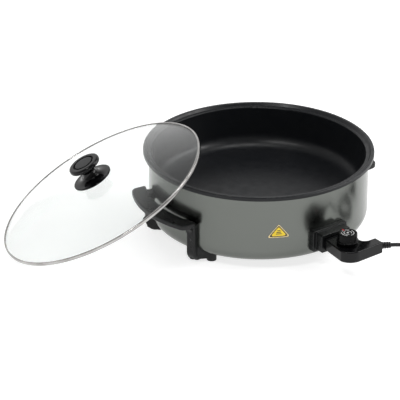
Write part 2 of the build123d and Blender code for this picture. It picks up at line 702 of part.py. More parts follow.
with BuildPart() as control_body:          # both shells in one; each half is cut from it below
    add(control_outline(0, CONTROL_BACK_U).moved(Location((0, 0, control_low_z))))
    extrude(amount=CONTROL_T)
    fillet(control_body.edges().filter_by(Plane.XY), 2.0)
    add(control_outline(SHELL_T, nose_end_u).moved(Location((0, 0, control_low_z + SHELL_T))))
    extrude(amount=CONTROL_T - 2 * SHELL_T, mode=Mode.SUBTRACT)
    with BuildSketch(outward(POCKET[2] + 0.5, 0, PORT_Z)):
        RectangleRounded(NOSE_W, CONTROL_T, 2)
    extrude(amount=CONTROL_BACK_U - POCKET[2])
    with BuildSketch(port.offset(control_low_z + 1)):
        with Locations(*boss_spots):
            Circle(boss_r)
    extrude(amount=CONTROL_T - 2)
    with BuildSketch(outward(POCKET[2], 0, PORT_Z)):
        with Locations((-lead_t, 0), (lead_t, 0)):
            Circle(sleeve_r)
        Circle(PROBE_R)
    extrude(amount=nose_end_u - POCKET[2] + 1, mode=Mode.SUBTRACT)
    with BuildSketch(lead.offset(-6)):
        Circle(relief_core_r)
    extrude(amount=12, mode=Mode.SUBTRACT)
    with BuildSketch(lead):
        Circle(RELIEF_BASE_R + relief_seat_gap)
    extrude(amount=6, mode=Mode.SUBTRACT)
    with BuildSketch(port.offset(control_low_z)):
        with Locations(*boss_spots):
            Circle(thread_r)
    extrude(amount=CONTROL_T - SHELL_T - 1, mode=Mode.SUBTRACT)
    with BuildSketch(port.offset(control_low_z)):
        with Locations(*boss_spots):
            Circle(screw_recess_r)
    extrude(amount=2.4, mode=Mode.SUBTRACT)
    with BuildSketch(port.offset(PORT_Z)):
        with Locations((DIAL_U, DIAL_T)):
            Circle(SHAFT_R + FIT)
    extrude(amount=CONTROL_T, mode=Mode.SUBTRACT)
    with BuildSketch(port.offset(well_z)):
        with Locations((DIAL_U, DIAL_T)):
            Circle(WELL_R)
    extrude(amount=CONTROL_T, mode=Mode.SUBTRACT)

with BuildPart() as control_upper_shell:
    add(control_body.part)
    split(bisect_by=Plane.XY.offset(PORT_Z), keep=Keep.TOP)
save(control_upper_shell, "control_upper_shell")

with BuildPart() as control_lower_shell:
    add(control_body.part)
    split(bisect_by=Plane.XY.offset(PORT_Z), keep=Keep.BOTTOM)
save(control_lower_shell, "control_lower_shell")

with BuildPart() as control_screws:
    for low, height, radius in ((control_low_z + 0.4, 2.0, 2.5), (control_low_z + 2.4, 13, thread_r)):
        with BuildSketch(port.offset(low)):
            with Locations(*boss_spots):
                Circle(radius)
        extrude(amount=height)
save(control_screws, "control_screws")

with BuildPart() as contact_sleeves:
    for side in (-1, 1):
        with BuildSketch(outward(POCKET[2] + 1.5, side * lead_t, PORT_Z)):
            Circle(sleeve_r)
            Circle(PIN_R + FIT, mode=Mode.SUBTRACT)
        extrude(amount=nose_end_u - POCKET[2] - 1)
save(contact_sleeves, "contact_sleeves")

switch_size = (28.0, 22.0, 13.0)
switch_u, switch_t, switch_low_z = 258.0, -3.0, PORT_Z - 7
with BuildPart() as temperature_probe:
    with BuildSketch(outward(PROBE_TIP_U, 0, PORT_Z)):
        Circle(PROBE_R)
    extrude(amount=switch_u - switch_size[0] / 2 - PROBE_TIP_U)
    tip = temperature_probe.edges().filter_by(GeomType.CIRCLE).sort_by_distance((0, 0, PORT_Z))[0]
    fillet(tip, PROBE_R - 0.3)
save(temperature_probe, "temperature_probe")

with BuildPart(port) as thermostat_switch:
    with Locations((switch_u, switch_t, switch_low_z)):
        Box(*switch_size, align=(Align.CENTER, Align.CENTER, Align.MIN))
    with Locations((switch_u - 9, switch_t, switch_low_z + switch_size[2])):
        Box(8, 12, 1.5, align=(Align.CENTER, Align.CENTER, Align.MIN))
save(thermostat_switch, "thermostat_switch")

shaft_low_z = switch_low_z + switch_size[2] + CLEAR
dial_low_z = well_z + CLEAR
skirt_top_z = dial_low_z + DIAL_SKIRT_H
shaft_top_z = DIAL_TOP_Z - 6
with BuildPart() as dial_shaft:
    with BuildSketch(port.offset(shaft_low_z)):
        with Locations((DIAL_U, DIAL_T)):
            Circle(SHAFT_R)
    extrude(amount=shaft_top_z - shaft_low_z)
save(dial_shaft, "dial_shaft")

pointer_w, pointer_l, pointer_t = 2.0, 5.0, 0.8
dial_axis_point = port.from_local_coords((DIAL_U, DIAL_T, 0))
dial_centre = Plane(dial_axis_point, x_dir=port.x_dir * -1, z_dir=(0, 0, 1))   # local x towards the pan
dial_section = Plane(dial_axis_point, x_dir=port.x_dir, z_dir=port.y_dir * -1)
with BuildPart() as dial_knob:
    with BuildSketch(dial_section) as turned:
        with BuildLine():
            Polyline(
                (0, dial_low_z), (DIAL_SKIRT_R, dial_low_z), (DIAL_SKIRT_R, skirt_top_z - 1.5),
                (DIAL_R + 0.3, skirt_top_z), (DIAL_R, DIAL_TOP_Z), (0, DIAL_TOP_Z), close=True,
            )
        make_face()
        fillet(corner(turned, DIAL_SKIRT_R, skirt_top_z - 1.5), 1.0)
        fillet(corner(turned, DIAL_R, DIAL_TOP_Z), 1.4)
    revolve(axis=Axis(dial_axis_point, (0, 0, 1)))
    with BuildSketch(dial_centre.offset(dial_low_z)):
        Circle(SHAFT_R)
    extrude(amount=shaft_top_z - dial_low_z, mode=Mode.SUBTRACT)
    with BuildSketch(dial_centre.offset(DIAL_TOP_Z - pointer_t)):
        with Locations((DIAL_R - 1.8 - pointer_l / 2, 0)):
            Rectangle(pointer_l, pointer_w)
    extrude(amount=pointer_t, mode=Mode.SUBTRACT)
save(dial_knob, "dial_knob")

with BuildPart() as dial_pointer:
    with BuildSketch(dial_centre.offset(DIAL_TOP_Z - pointer_t)):
        with Locations((DIAL_R - 1.8 - pointer_l / 2, 0)):
            Rectangle(pointer_l, pointer_w)
    extrude(amount=pointer_t + 0.2)
save(dial_pointer, "dial_pointer")

# ======================= mains lead =======================
rib_count, rib_pitch, rib_gap, rib_depth = 4, 4.2, 1.3, 1.4
with BuildPart() as strain_relief:
    with BuildSketch(Plane(lead.origin, x_dir=lead.x_dir, z_dir=lead.y_dir * -1)) as relief_section:
        with BuildLine():
            Polyline(
                (0, -4), (relief_core_r, -4), (relief_core_r, relief_seat_gap),
                (RELIEF_BASE_R, relief_seat_gap), (RELIEF_TIP_R, RELIEF_L), (0, RELIEF_L), close=True,
            )
        make_face()
        for rib in range(rib_count):
            with Locations((RELIEF_BASE_R, 4.4 + rib_pitch * rib)):
                Rectangle(2 * rib_depth, rib_gap, mode=Mode.SUBTRACT)
    revolve(axis=Axis(lead.origin, lead_dir))
save(strain_relief, "strain_relief")

cord_start = lead.origin + lead_dir * RELIEF_L
route = [cord_start, cord_start + lead_dir * EXIT_RUN] + [Vector(*point) for point in CORD_ROUTE]
print("route starts", [tuple(round(c, 1) for c in point) for point in route[:2]])
runs = [last - first for first, last in zip(route, route[1:])]
bend_radii = []
for before, after in zip(runs, runs[1:]):
    half_turn = before.get_angle(after) / 2
    bend_radii.append(0.45 * min(before.length, after.length) / math.tan(math.radians(half_turn)))
with BuildPart() as cord:
    with BuildLine():
        path = FilletPolyline(*route, radius=bend_radii)
    with BuildSketch(Plane(cord_start, z_dir=runs[0])):
        Circle(CORD_R)
    sweep()
save(cord, "cord")
tube_volume = math.pi * CORD_R ** 2 * path.length
print("bend radii", [round(radius, 1) for radius in bend_radii])
print("tube length", round(path.length, 1), "volume ratio", round(cord.part.volume / tube_volume, 4))

with BuildPart() as cord_coil:
    with BuildSketch(Plane.XZ.offset(-COIL_Y)):
        with Locations((COIL_X + COIL_MID_R, COIL_H / 2)):
            RectangleRounded(COIL_WIDTH, COIL_H, 3)
    revolve(axis=Axis((COIL_X, COIL_Y, 0), (0, 0, 1)))
save(cord_coil, "cord_coil")

tail_x = COIL_X + COIL_MID_R + CORD_R
tail_start = Vector(tail_x, COIL_Y, COIL_H - CORD_R)
tail_end = Vector(tail_x, PLUG_BACK_Y, PLUG_R)
with BuildPart() as cord_tail:
    with BuildSketch(Plane(tail_start, z_dir=tail_end - tail_start)):
        Circle(CORD_R)
    extrude(amount=(tail_end - tail_start).length)
save(cord_tail, "cord_tail")

tie_w, tie_t = 12.0, 1.0
with BuildPart() as cord_tie:
    with Locations((COIL_X - COIL_MID_R, COIL_Y, 0)):
        Box(COIL_WIDTH + 2 * tie_t, tie_w, COIL_H + tie_t, align=(Align.CENTER, Align.CENTER, Align.MIN))
    add(cord_coil.part, mode=Mode.SUBTRACT)
save(cord_tie, "cord_tie")

plug_section = Plane((tail_x, PLUG_BACK_Y, PLUG_R), x_dir=(1, 0, 0), z_dir=(0, 0, 1))
disc_back = PLUG_L - PLUG_DISC_T
plug_neck_r, plug_waist_r, plug_shoulder_r = 4.6, 6.2, 15.5
with BuildPart() as mains_plug:
    with BuildSketch(plug_section) as plug_half:
        with BuildLine():
            Polyline((0, 0), (plug_neck_r, 0), (plug_waist_r, 20))
            Bezier((plug_waist_r, 20), (14, 24), (12, 38), (plug_shoulder_r, disc_back))
            Polyline(
                (plug_shoulder_r, disc_back), (PLUG_R, disc_back), (PLUG_R, PLUG_L), (0, PLUG_L), (0, 0),
            )
        make_face()
        fillet(corner(plug_half, PLUG_R, PLUG_L), 1.2)
        fillet(corner(plug_half, PLUG_R, disc_back), 1.2)
    revolve(axis=Axis((tail_x, PLUG_BACK_Y, PLUG_R), (0, 1, 0)))
    for way in (-1, 1):
        with Locations((tail_x, PLUG_BACK_Y + PLUG_L, PLUG_R + way * PLUG_R)):
            Box(5, 2 * PLUG_DISC_T, 5, mode=Mode.SUBTRACT)
save(mains_plug, "mains_plug")

with BuildPart() as plug_pins:
    with BuildSketch(Plane((tail_x, PLUG_BACK_Y + PLUG_L, PLUG_R), x_dir=(1, 0, 0), z_dir=(0, 1, 0))):
        with Locations((-PLUG_PIN_SPREAD / 2, 0), (PLUG_PIN_SPREAD / 2, 0)):
            Circle(PLUG_PIN_R)
    extrude(amount=PLUG_PIN_L)
    ends = plug_pins.edges().filter_by(GeomType.CIRCLE).group_by(Axis.Y)[-1]
    fillet(ends, 1.0)
save(plug_pins, "plug_pins")
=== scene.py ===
"""Looks of the round electric party pan: materials, detailed pieces, lights and camera.

Everything is in metres in the frame of the CAD model: the pan's axis is Z, the
table is Z = 0, +X is right and +Y is away from the camera.
"""
import json
import math

import bmesh
import bpy
from mathutils import Matrix, Vector


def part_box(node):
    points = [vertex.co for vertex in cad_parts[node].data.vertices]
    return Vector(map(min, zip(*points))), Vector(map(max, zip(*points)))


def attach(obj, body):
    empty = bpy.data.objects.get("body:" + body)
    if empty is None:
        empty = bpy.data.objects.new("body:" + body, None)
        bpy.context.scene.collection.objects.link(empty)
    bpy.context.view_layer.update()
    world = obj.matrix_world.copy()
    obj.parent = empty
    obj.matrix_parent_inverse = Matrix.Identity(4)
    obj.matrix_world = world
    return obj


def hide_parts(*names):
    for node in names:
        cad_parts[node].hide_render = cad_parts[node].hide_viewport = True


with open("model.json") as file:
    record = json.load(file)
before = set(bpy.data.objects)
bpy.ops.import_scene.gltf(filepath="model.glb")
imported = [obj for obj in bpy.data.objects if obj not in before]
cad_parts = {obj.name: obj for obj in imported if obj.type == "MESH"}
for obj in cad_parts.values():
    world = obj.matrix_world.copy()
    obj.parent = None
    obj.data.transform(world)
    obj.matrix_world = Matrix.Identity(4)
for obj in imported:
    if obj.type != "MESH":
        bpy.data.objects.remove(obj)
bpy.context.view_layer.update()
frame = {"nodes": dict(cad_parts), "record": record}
MM = 0.001

# ---------------------------------------------------------------- camera
FOCAL_MM = 208.1
SENSOR_MM = 36.0
VIEW_ELEVATION = math.radians(25.96)
VIEW_DISTANCE = 4.252
AIM = Vector((-0.107, 0.0, 0.043))


def add_camera():
    data = bpy.data.cameras.new("camera")
    data.lens = FOCAL_MM
    data.sensor_width = SENSOR_MM
    data.clip_end = 50.0
    camera = bpy.data.objects.new("camera", data)
    back = Vector((0, -math.cos(VIEW_ELEVATION), math.sin(VIEW_ELEVATION)))
    camera.location = AIM + back * VIEW_DISTANCE
    camera.rotation_euler = (math.pi / 2 - VIEW_ELEVATION, 0, 0)
    bpy.context.collection.objects.link(camera)
    bpy.context.scene.camera = camera


add_camera()

# ---------------------------------------------------------------- places worked out from the frame
PORT_AZIMUTH = math.radians(-53.5)
OUT = Vector((math.cos(PORT_AZIMUTH), math.sin(PORT_AZIMUTH), 0))       # out of the wall at the socket
ALONG = Vector((-OUT.y, OUT.x, 0))                                      # along the wall, to the right
CORD_D = 7 * MM
CORD_R = CORD_D / 2


def port_point(u, t, z):
    """Point u from the pan's axis and t along the wall at the socket, in millimetres."""
    return (OUT * u + ALONG * t) * MM + Vector((0, 0, z * MM))


# ---------------------------------------------------------------- mesh helpers
def new_piece(name, mesh_data, body, material, smooth_angle=35):
    piece = bpy.data.objects.new(name, mesh_data)
    bpy.context.collection.objects.link(piece)
    if piece.type == "MESH":
        for face in mesh_data.polygons:
            face.use_smooth = True
        if smooth_angle:
            mark_sharp(mesh_data, smooth_angle)
    mesh_data.materials.append(material)
    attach(piece, body)
    return piece


def mark_sharp(mesh, angle):
    """Edges sharper than the angle, in degrees, stay crisp under smooth shading."""
    work = bmesh.new()
    work.from_mesh(mesh)
    limit = math.radians(angle)
    for edge in work.edges:
        edge.smooth = len(edge.link_faces) == 2 and edge.calc_face_angle(0) < limit
    work.to_mesh(mesh)
    work.free()


def mesh_from(name, vertices, faces):
    mesh = bpy.data.meshes.new(name)
    mesh.from_pydata([tuple(v) for v in vertices], [], faces)
    work = bmesh.new()
    work.from_mesh(mesh)
    bmesh.ops.remove_doubles(work, verts=work.verts, dist=1e-6)
    bmesh.ops.recalc_face_normals(work, faces=work.faces)
    work.to_mesh(mesh)
    work.free()
    return mesh


def lathe(name, profile, origin, axis, steps):
    """Closed solid turned about an axis; the profile is a closed loop of (radius, height)."""
    axis = Vector(axis).normalized()
    side = axis.orthogonal().normalized()
    other = axis.cross(side)
    origin = Vector(origin)
    vertices, faces = [], []
    count = len(profile)
    for step in range(steps):
        turn = 2 * math.pi * step / steps
        radial = side * math.cos(turn) + other * math.sin(turn)
        for radius, height in profile:
            vertices.append(origin + radial * radius + axis * height)
    for step in range(steps):
        here, there = step * count, (step + 1) % steps * count
        for i in range(count):
            j = (i + 1) % count
            if profile[i][0] < 1e-7 and profile[j][0] < 1e-7:
                continue
            faces.append((here + i, there + i, there + j, here + j))
    return mesh_from(name, vertices, faces)


def rounded(points, radii, steps=6):
    """The polygon's corners replaced by arcs; radii gives one radius per corner, 0 for a sharp one."""
    result = []
    count = len(points)
    for i, (x, y) in enumerate(points):
        corner = Vector((x, y))
        before = Vector(points[i - 1]) - corner
        after = Vector(points[(i + 1) % count]) - corner
        if radii[i] <= 0 or before.length < 1e-9 or after.length < 1e-9:
            result.append((x, y))
            continue
        half = before.angle(after) / 2
        reach = min(radii[i] / math.tan(half), before.length * 0.49, after.length * 0.49)
        radius = reach * math.tan(half)
        inward = (before.normalized() + after.normalized()).normalized()
        middle = corner + inward * (radius / math.sin(half))
        start = corner + before.normalized() * reach - middle
        end = corner + after.normalized() * reach - middle
        sweep = start.angle_signed(end)
        for step in range(steps + 1):
            turn = -sweep * step / steps
            point = Matrix.Rotation(turn, 2) @ start + middle
            result.append((point.x, point.y))
    return result


# ---------------------------------------------------------------- material helpers
def plain(name, color, roughness=0.5, metallic=0.0, **sockets):
    material = bpy.data.materials.new(name)
    material.use_nodes = True
    shader = material.node_tree.nodes["Principled BSDF"]
    shader.inputs["Base Color"].default_value = (*color, 1)
    shader.inputs["Roughness"].default_value = roughness
    shader.inputs["Metallic"].default_value = metallic
    for socket, value in sockets.items():
        shader.inputs[socket.replace("_", " ")].default_value = value
    return material


def node(material, kind):
    return material.node_tree.nodes.new(kind)


def join(material, source, target):
    material.node_tree.links.new(source, target)


def noise(material, scale, detail):
    """Noise in the object's own metres."""
    place = node(material, "ShaderNodeTexCoord")
    grain = node(material, "ShaderNodeTexNoise")
    grain.inputs["Scale"].default_value = scale
    grain.inputs["Detail"].default_value = detail
    join(material, place.outputs["Object"], grain.inputs["Vector"])
    return grain.outputs["Fac"]


NOISE_LOW, NOISE_HIGH = 0.35, 0.65      # most of a noise lies between these


def vary(material, factor, low, high, socket):
    """Drives a number or a colour of the shader from low to high."""
    shader = material.node_tree.nodes["Principled BSDF"]
    if isinstance(low, tuple):
        ramp = node(material, "ShaderNodeValToRGB")
        ramp.color_ramp.elements[0].position = NOISE_LOW
        ramp.color_ramp.elements[1].position = NOISE_HIGH
        ramp.color_ramp.elements[0].color = (*low, 1)
        ramp.color_ramp.elements[1].color = (*high, 1)
        join(material, factor, ramp.inputs["Fac"])
        join(material, ramp.outputs["Color"], shader.inputs[socket])
    else:
        span = node(material, "ShaderNodeMapRange")
        span.inputs["From Min"].default_value = NOISE_LOW
        span.inputs["From Max"].default_value = NOISE_HIGH
        span.inputs["To Min"].default_value = low
        span.inputs["To Max"].default_value = high
        join(material, factor, span.inputs["Value"])
        join(material, span.outputs["Result"], shader.inputs[socket])


def bump(material, factor, height_mm, strength):
    """Relief of a height in millimetres, on top of any relief that is there already."""
    shader = material.node_tree.nodes["Principled BSDF"]
    relief = node(material, "ShaderNodeBump")
    relief.inputs["Strength"].default_value = strength
    relief.inputs["Distance"].default_value = height_mm * MM
    join(material, factor, relief.inputs["Height"])
    previous = shader.inputs["Normal"].links
    if previous:
        join(material, previous[0].from_socket, relief.inputs["Normal"])
    join(material, relief.outputs["Normal"], shader.inputs["Normal"])


# ---------------------------------------------------------------- materials
def make_nonstick():
    """Dark non-stick coat: nearly black, with a fine grain and faint wear in the gloss."""
    material = plain("nonstick_coat", (0.006, 0.006, 0.007), 0.36, IOR=1.36)
    vary(material, noise(material, 900, 2), (0.0035, 0.0042, 0.0052), (0.0095, 0.0105, 0.0125), "Base Color")
    vary(material, noise(material, 60, 4), 0.32, 0.42, "Roughness")
    bump(material, noise(material, 700, 2), 0.02, 0.4)
    bump(material, noise(material, 90, 2), 0.06, 0.2)
    return material


def make_housing_paint():
    """Dark grey metallic finish that mirrors what stands close to it."""
    material = plain("housing_paint", (0.145, 0.153, 0.142), 0.22, 1.0)
    vary(material, noise(material, 2600, 1), (0.139, 0.147, 0.136), (0.151, 0.159, 0.148), "Base Color")
    vary(material, noise(material, 30, 2), 0.19, 0.24, "Roughness")
    bump(material, noise(material, 2000, 1), 0.002, 0.2)
    bump(material, noise(material, 14, 2), 0.5, 0.04)
    return material


def make_phenolic():
    material = plain("phenolic", (0.004, 0.0045, 0.0045), 0.34, IOR=1.36)
    vary(material, noise(material, 220, 5), (0.002, 0.0025, 0.0028), (0.007, 0.0078, 0.0078), "Base Color")
    vary(material, noise(material, 90, 4), 0.27, 0.4, "Roughness")
    bump(material, noise(material, 500, 3), 0.03, 0.3)
    return material


def make_gloss_black():
    material = plain("gloss_black", (0.002, 0.002, 0.0023), 0.1, IOR=1.33)
    vary(material, noise(material, 120, 4), 0.07, 0.13, "Roughness")
    vary(material, noise(material, 300, 2), (0.0012, 0.0012, 0.0015), (0.003, 0.003, 0.0034), "Base Color")
    bump(material, noise(material, 60, 2), 0.1, 0.06)
    return material


def make_glass():
    material = plain("tempered_glass", (0.93, 0.95, 0.94), 0.0, Transmission_Weight=1.0, IOR=1.42)
    vary(material, noise(material, 25, 3), 0.0, 0.03, "Roughness")
    return material


def make_steel():
    material = plain("stainless_steel", (0.6, 0.6, 0.59), 0.25, 1.0)
    vary(material, noise(material, 900, 2), 0.18, 0.32, "Roughness")
    vary(material, noise(material, 50, 3), (0.52, 0.52, 0.51), (0.66, 0.66, 0.65), "Base Color")
    return material


def make_band_steel():
    """Polished, with a faint clouding along the rim."""
    material = plain("polished_band", (0.42, 0.41, 0.4), 0.14, 1.0)
    vary(material, noise(material, 1800, 1), 0.1, 0.18, "Roughness")
    vary(material, noise(material, 35, 3), (0.36, 0.35, 0.34), (0.48, 0.47, 0.46), "Base Color")
    return material


def make_dial_black():
    material = plain("dial_black", (0.002, 0.002, 0.0022), 0.24, IOR=1.33, Specular_IOR_Level=0.22)
    vary(material, noise(material, 300, 3), 0.18, 0.3, "Roughness")
    bump(material, noise(material, 900, 2), 0.02, 0.3)
    return material


def make_nickel():
    material = plain("nickel", (0.7, 0.68, 0.64), 0.16, 1.0)
    vary(material, noise(material, 300, 3), 0.1, 0.24, "Roughness")
    return material


def make_aluminium():
    material = plain("cast_aluminium", (0.55, 0.55, 0.56), 0.5, 1.0)
    bump(material, noise(material, 500, 3), 0.1, 0.5)
    return material


def make_steatite():
    material = plain("steatite", (0.8, 0.78, 0.72), 0.55)
    bump(material, noise(material, 800, 2), 0.03, 0.4)
    return material


def make_switch():
    material = plain("switch_block", (0.3, 0.26, 0.2), 0.5)
    vary(material, noise(material, 200, 3), (0.26, 0.22, 0.17), (0.34, 0.3, 0.24), "Base Color")
    return material


def make_rubber():
    material = plain("rubber", (0.015, 0.015, 0.016), 0.55)
    vary(material, noise(material, 150, 3), 0.48, 0.62, "Roughness")
    bump(material, noise(material, 900, 2), 0.02, 0.4)
    return material


def make_cord_sheath():
    material = plain("cord_sheath", (0.006, 0.006, 0.007), 0.38, IOR=1.42)
    vary(material, noise(material, 200, 3), 0.32, 0.46, "Roughness")
    bump(material, noise(material, 400, 2), 0.03, 0.25)
    return material


def make_inlay():
    material = plain("knob_inlay", (0.03, 0.031, 0.032), 0.62)
    bump(material, noise(material, 1200, 2), 0.05, 0.6)
    return material


def make_strap():
    material = plain("woven_strap", (0.02, 0.02, 0.022), 0.85, Sheen_Weight=0.4)
    bump(material, noise(material, 900, 2), 0.2, 0.8)
    return material


def make_yellow():
    material = plain("label_yellow", (0.88, 0.62, 0.015), 0.32)
    vary(material, noise(material, 120, 3), (0.86, 0.6, 0.012), (0.91, 0.66, 0.02), "Base Color")
    return material


def make_label_dark():
    material = plain("label_dark", (0.05, 0.04, 0.02), 0.35)
    vary(material, noise(material, 300, 2), 0.3, 0.42, "Roughness")
    return material


def make_label_cream():
    material = plain("label_edge", (0.85, 0.68, 0.35), 0.35)
    vary(material, noise(material, 200, 2), (0.82, 0.64, 0.3), (0.88, 0.72, 0.4), "Base Color")
    return material


def make_print():
    material = plain("white_print", (0.62, 0.62, 0.62), 0.5)
    vary(material, noise(material, 1500, 2), (0.5, 0.5, 0.5), (0.7, 0.7, 0.7), "Base Color")
    return material


def make_red():
    material = plain("red_inlay", (0.5, 0.015, 0.02), 0.3)
    vary(material, noise(material, 400, 2), 0.25, 0.38, "Roughness")
    return material


nonstick = make_nonstick()
housing_paint = make_housing_paint()
phenolic = make_phenolic()
gloss_black = make_gloss_black()
glass = make_glass()
steel = make_steel()
band_steel = make_band_steel()
dial_black = make_dial_black()
nickel = make_nickel()
aluminium = make_aluminium()
steatite = make_steatite()
switch_block = make_switch()
rubber = make_rubber()
cord_sheath = make_cord_sheath()
inlay = make_inlay()
strap = make_strap()
yellow = make_yellow()
label_dark = make_label_dark()
label_cream = make_label_cream()
white_print = make_print()
red = make_red()

SLOT_MATERIALS = {
    "nonstick": nonstick, "housing_paint": housing_paint, "phenolic": phenolic, "gloss_black": gloss_black,
    "inlay": inlay, "glass": glass, "steel": steel, "nickel": nickel, "cast_aluminium": aluminium,
    "steatite": steatite, "switch_body": switch_block, "seal": rubber, "cord_sheath": cord_sheath,
    "tie": strap, "label": yellow, "pointer": red,
}
for entry in frame["record"]["subparts"]:
    shown = frame["nodes"][entry["node"]]
    for place in shown.material_slots:
        place.material = SLOT_MATERIALS[entry["material_slot"]]

# ---------------------------------------------------------------- mains lead
RELIEF_LENGTH = 20 * MM
RELIEF_AZIMUTH = math.radians(13)
RELIEF_DROP = math.radians(3)
RELIEF_START = port_point(286, 48, 52)
LEAD_DIRECTION = Vector((
    math.cos(RELIEF_DROP) * math.cos(RELIEF_AZIMUTH),
    math.cos(RELIEF_DROP) * math.sin(RELIEF_AZIMUTH),
    -math.sin(RELIEF_DROP),
))
EXIT = RELIEF_START + LEAD_DIRECTION * RELIEF_LENGTH
EXIT_RUN = 30 * MM
ROUTE_TO_COIL = [
    (0.283, -0.171, 0.027), (0.309, -0.156, 0.008), (0.335, -0.143, 0.0037), (0.353, -0.1215, 0.0037),
]
COIL_CENTRE = Vector((0.3208, -0.0945, 0))
COIL_INNER_R = 35 * MM
COIL_OUTER_R = 42 * MM
COIL_START = math.radians(-40)
COIL_END = math.radians(4 * 360)
POINTS_PER_TURN = 16
CORNER_CUT = 0.985              # an order 3 spline runs this far inside its points
CROSSING = 0.2                  # turns that a change of ring takes
INWARD_AT, RAISED_AT, OUTWARD_AT = 0.85, 1.85, 2.9      # turns where each change starts
TAIL_PULL = 0.45                # where the tail's middle point lies, from coil to plug
LOW_Z = 3.7 * MM
HIGH_Z = 10.6 * MM
PLUG_R = 18.5 * MM
PLUG_BACK = Vector((0.3628, -0.062, PLUG_R))


def smooth_step(value):
    value = min(max(value, 0.0), 1.0)
    return value * value * (3 - 2 * value)


def coil_point(turn):
    """Two turns low, outer then inner, and two high, inner then outer."""
    turns = (turn - COIL_START) / (2 * math.pi)
    inward = smooth_step((turns - INWARD_AT) / CROSSING) - smooth_step((turns - OUTWARD_AT) / CROSSING)
    raised = smooth_step((turns - RAISED_AT) / CROSSING)
    radius = (COIL_OUTER_R + (COIL_INNER_R - COIL_OUTER_R) * inward) / CORNER_CUT
    z = LOW_Z + (HIGH_Z - LOW_Z) * raised
    return COIL_CENTRE + Vector((radius * math.cos(turn), radius * math.sin(turn), z))


def lead_route():
    points = [EXIT, EXIT + LEAD_DIRECTION * EXIT_RUN] + [Vector(point) for point in ROUTE_TO_COIL]
    steps = round((COIL_END - COIL_START) / (2 * math.pi) * POINTS_PER_TURN)
    for step in range(1, steps + 1):
        points.append(coil_point(COIL_START + (COIL_END - COIL_START) * step / steps))
    last = points[-1]
    points.append(last + (PLUG_BACK - last) * TAIL_PULL)
    points.append(PLUG_BACK)
    return points


def make_lead():
    data = bpy.data.curves.new("mains_lead", "CURVE")
    data.dimensions = "3D"
    spline = data.splines.new("NURBS")
    route = lead_route()
    spline.points.add(len(route) - 1)
    for point, place in zip(spline.points, route):
        point.co = (*place, 1)
    spline.order_u = 3
    spline.use_endpoint_u = True
    data.resolution_u = 8
    data.bevel_depth = CORD_R
    data.bevel_resolution = 6
    data.use_fill_caps = True
    return new_piece("mains_lead", data, "control", cord_sheath, smooth_angle=None)


lead = make_lead()
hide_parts("cord", "cord_coil", "cord_tail")

# ---------------------------------------------------------------- lid
LID_TILT = math.radians(27.7)
LID_TILT_AZIMUTH = math.radians(187.4)
LID_NORMAL = Vector((
    math.sin(LID_TILT) * math.cos(LID_TILT_AZIMUTH),
    math.sin(LID_TILT) * math.sin(LID_TILT_AZIMUTH),
    math.cos(LID_TILT),
))
BAND_HEIGHT = 6.2 * MM
LID_R = 200 * MM
GLASS_T = 4.4 * MM
GLASS_TOP = 36 * MM
BAND_T = 0.9 * MM
BAND_LIP = 3.2 * MM


def middle_of(name):
    low, high = (Vector(corner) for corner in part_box(name))
    return (low + high) / 2


LID_ORIGIN = middle_of("lid_band") - LID_NORMAL * BAND_HEIGHT / 2


def dome(radius, top, edge_r, edge_height):
    """Height of a spherical cap with its top and its edge given."""
    rise = top - edge_height
    sphere = (edge_r ** 2 + rise ** 2) / (2 * rise)
    return top - sphere + math.sqrt(sphere ** 2 - radius ** 2)


def make_glass_lid():
    edge_r = LID_R - BAND_LIP
    edge_height = BAND_T + GLASS_T
    hole_r = 3 * MM
    rings = 36
    radii = [hole_r + (edge_r - hole_r) * ring / rings for ring in range(rings + 1)]
    upper = [(radius, dome(radius, GLASS_TOP, edge_r, edge_height)) for radius in radii]
    lower = [(radius, height - GLASS_T) for radius, height in reversed(upper)]
    rim_r = LID_R - BAND_T
    rim = [(rim_r, edge_height), (rim_r, BAND_T)]
    mesh = lathe("lid_glass_dome", upper + rim + lower, LID_ORIGIN, LID_NORMAL, 240)
    piece = new_piece("lid_glass_dome", mesh, "lid", glass, 50)
    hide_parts("lid_glass")


def make_lid_band():
    """The stainless channel, rolled over the glass above and below."""
    inner_r = LID_R - BAND_LIP
    outline = [
        (inner_r, 0.1 * MM), (inner_r, BAND_T), (LID_R - BAND_T, BAND_T),
        (LID_R - BAND_T, BAND_T + GLASS_T), (inner_r, BAND_T + GLASS_T), (inner_r, BAND_HEIGHT),
        (LID_R, BAND_HEIGHT), (LID_R, 0),
    ]
    radii = [0.3 * MM, 0.3 * MM, 0, 0, 0.3 * MM, 0.4 * MM, 1.2 * MM, 1.2 * MM]
    mesh = lathe("lid_rim_band", rounded(outline, radii), LID_ORIGIN, LID_NORMAL, 240)
    piece = new_piece("lid_rim_band", mesh, "lid", band_steel, 40)
    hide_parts("lid_band")


def lid_turned(name, node_name, outline, radii, material):
    """A piece turned about the lid's axis; the outline is in millimetres."""
    profile = [(x * MM, y * MM) for x, y in rounded(outline, radii)]
    mesh = lathe(name, profile, LID_ORIGIN, LID_NORMAL, 96)
    piece = new_piece(name, mesh, "lid", material)
    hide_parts(node_name)


def curve_between(start, pull_a, pull_b, end, steps=14):
    """Points on a Bezier curve."""
    points = []
    for step in range(steps + 1):
        t = step / steps
        k = (1 - t) ** 3, 3 * t * (1 - t) ** 2, 3 * t * t * (1 - t), t ** 3
        points.append(tuple(
            k[0] * a + k[1] * b + k[2] * c + k[3] * d for a, b, c, d in zip(start, pull_a, pull_b, end)
        ))
    return points


